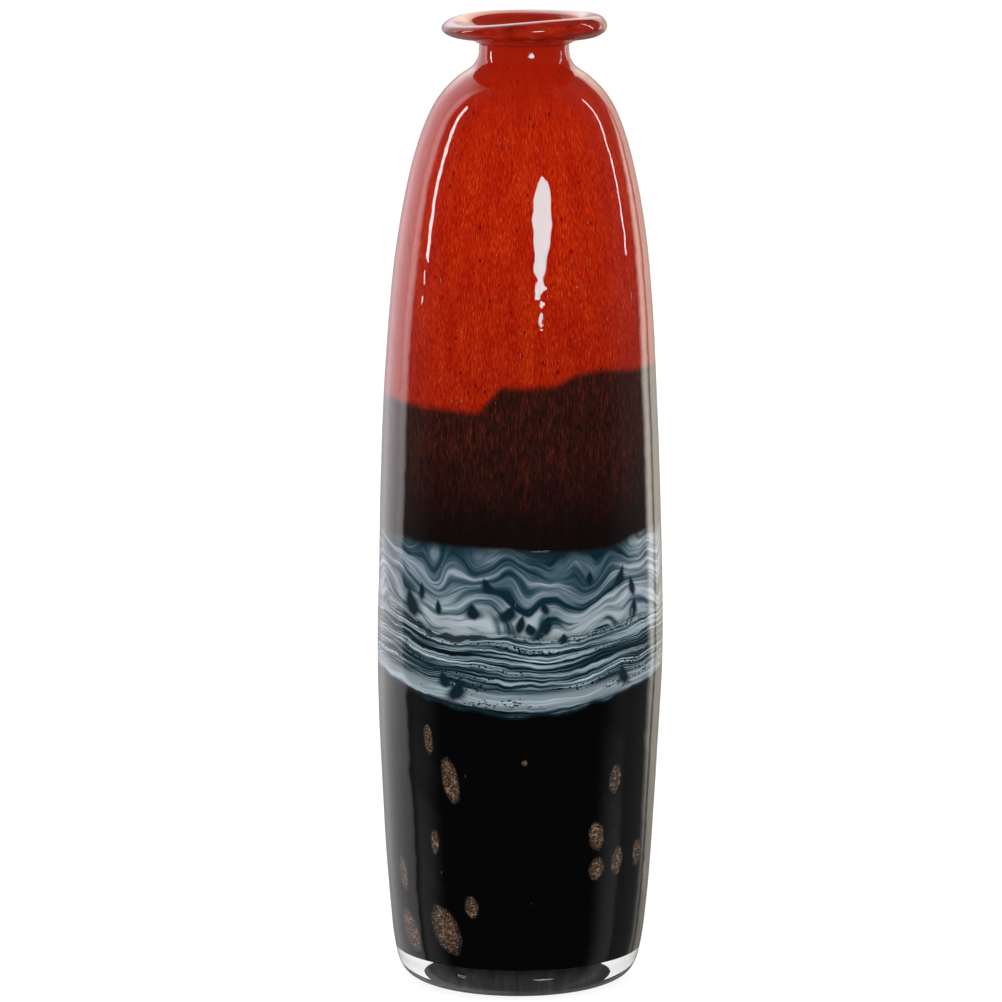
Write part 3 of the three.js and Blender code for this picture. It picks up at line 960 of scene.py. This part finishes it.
def studio_surroundings():
    """White panels behind the vase, dark card in front and a window; only gloss tells them apart.

    All azimuths and elevations are in degrees."""
    world = bpy.data.worlds.new("studio")
    bpy.context.scene.world = world
    world.use_nodes = True
    g = Graph(world.node_tree)
    x, y, z = g.place("Generated")
    azimuth = g.times(g.angle(x, y), 180 / math.pi)
    elevation = g.times(g.math("ARCSINE", z), 180 / math.pi)
    aside = g.math("ABSOLUTE", azimuth)

    low = g.step(elevation, 4.0, 16.0, 1.0, 0.0)
    behind = g.sum(1.0, g.times(low, g.step(aside, 146.0, 168.0, 0.0, -0.58)))
    ceiling = g.step(elevation, 38.0, 62.0, 1.0, 0.12)
    sky = g.times(g.step(aside, 140.0, 165.0), g.step(elevation, 10.0, 24.0),
                  g.step(elevation, 55.0, 75.0, 1.0, 0.0), 1.2)
    left, left_light = left_panel(g, azimuth, elevation)
    left_light = g.sum(g.times(left_light, ceiling, behind), sky)
    right, right_light = right_panel(g, azimuth, elevation)
    right_light = g.sum(g.times(right_light, ceiling, behind), sky)
    glow = g.times(g.step(aside, 66.0, 88.0), g.step(aside, 94.0, 101.0, 1.0, 0.0),
                   g.step(elevation, -20.0, -12.0, 0.24, 0.0))
    front = g.sum(g.step(aside, 70.0, 100.0, 0.03, 0.13), glow)

    warm = g.join(right_light, g.times(right_light, 0.92), g.times(right_light, 0.80))
    rosy = g.join(left_light, g.times(left_light, 0.97), left_light)
    seen = g.mix(left, g.mix(right, g.join(front, front, front), warm), rosy)
    seen = g.mix(window(g, azimuth, elevation), seen, WINDOW_COLOUR)
    path = g.add("ShaderNodeLightPath")
    gloss = g.times(path.outputs["Is Glossy Ray"], g.sum(1.0, g.minus(path.outputs["Is Transmission Ray"])))
    background = world.node_tree.nodes["Background"]
    g.put(g.mix(gloss, (1.0, 1.0, 1.0), seen), background.inputs["Color"])
    background.inputs["Strength"].default_value = 1.0


def floor_material():
    """Pale grey that glows a little, so that it stays even as far as it is seen."""
    g = Surface("pale_floor")
    tone = g.noise(g.join(*g.place()), scale=3.0)
    g.put(g.mix(tone, (0.24, 0.24, 0.24), (0.26, 0.26, 0.26)), g.shader.inputs["Base Color"])
    g.shader.inputs["Roughness"].default_value = 0.9
    g.shader.inputs["Specular IOR Level"].default_value = 0.0
    g.shader.inputs["Emission Color"].default_value = (1, 1, 1, 1)
    g.shader.inputs["Emission Strength"].default_value = 0.85
    return g.material


def make_floor():
    """A wide floor just under the foot, which doesn't show in the gloss."""
    reach = 30.0
    corners = [(x * reach, y * reach, -0.5 * MM) for x, y in ((-1, -1), (1, -1), (1, 1), (-1, 1))]
    floor = finish_mesh("floor", corners, [(0, 1, 2, 3)], floor_material(), smooth=False)
    floor.visible_glossy = False


def make_lamps():
    """Strips and a spot that only show in the gloss, then two soft lamps that light the colours."""
    shoulder = (0, 0, 0.33)
    lamp("left_strip", shoulder, -94, 21, 1.6, 0.11, 1.12, 14, seen=True, lights=False)
    lamp("left_spot", shoulder, -96, -0.5, 1.6, 0.05, 0.05, 12, seen=True, lights=False, shape="ELLIPSE")
    lamp("right_strip", shoulder, 108, 20.5, 1.6, 0.055, 1.20, 12, seen=True, lights=False)
    body = (0, 0, 0.3)
    lamp("key", body, -35, 35, 2.2, 1.6, 1.6, 1.35, seen=False, lights=True)
    lamp("fill", body, 50, 25, 2.4, 1.6, 1.6, 0.9, seen=False, lights=True)


def make_camera():
    """Low telephoto view from the front, as tall objects are photographed."""
    data = bpy.data.cameras.new("camera")
    data.lens = 187.2
    data.sensor_width = 36
    camera = bpy.data.objects.new("camera", data)
    bpy.context.scene.collection.objects.link(camera)
    side_step, distance, eye_height = -0.0079, 2.12, 0.548
    looks_down = 9.33
    camera.location = (side_step, -distance, eye_height)
    camera.rotation_euler = (math.radians(90 - looks_down), 0, 0)
    bpy.context.scene.camera = camera


# ------------------------------------------------------------------ assembly

make_camera()
studio_surroundings()
make_floor()
make_lamps()
bpy.context.scene.view_settings.view_transform = "Standard"

keep(make_casing(), "clear_glass", "clear_casing")
keep(make_pontil(), "clear_glass", "clear_casing")
keep(make_lining(), "clear_glass", "inner_lining")
for piece, node, slot in make_coat(coat_material()):
    keep(piece, slot, node)
keep(make_lip(lip_glass()), "red_glass", "lip_coil")
copper = copper_glass()
dice = random.Random(FLECK_SEED)
for place in fleck_places():
    keep(make_fleck(place, copper, dice), "copper_glass", place[0])
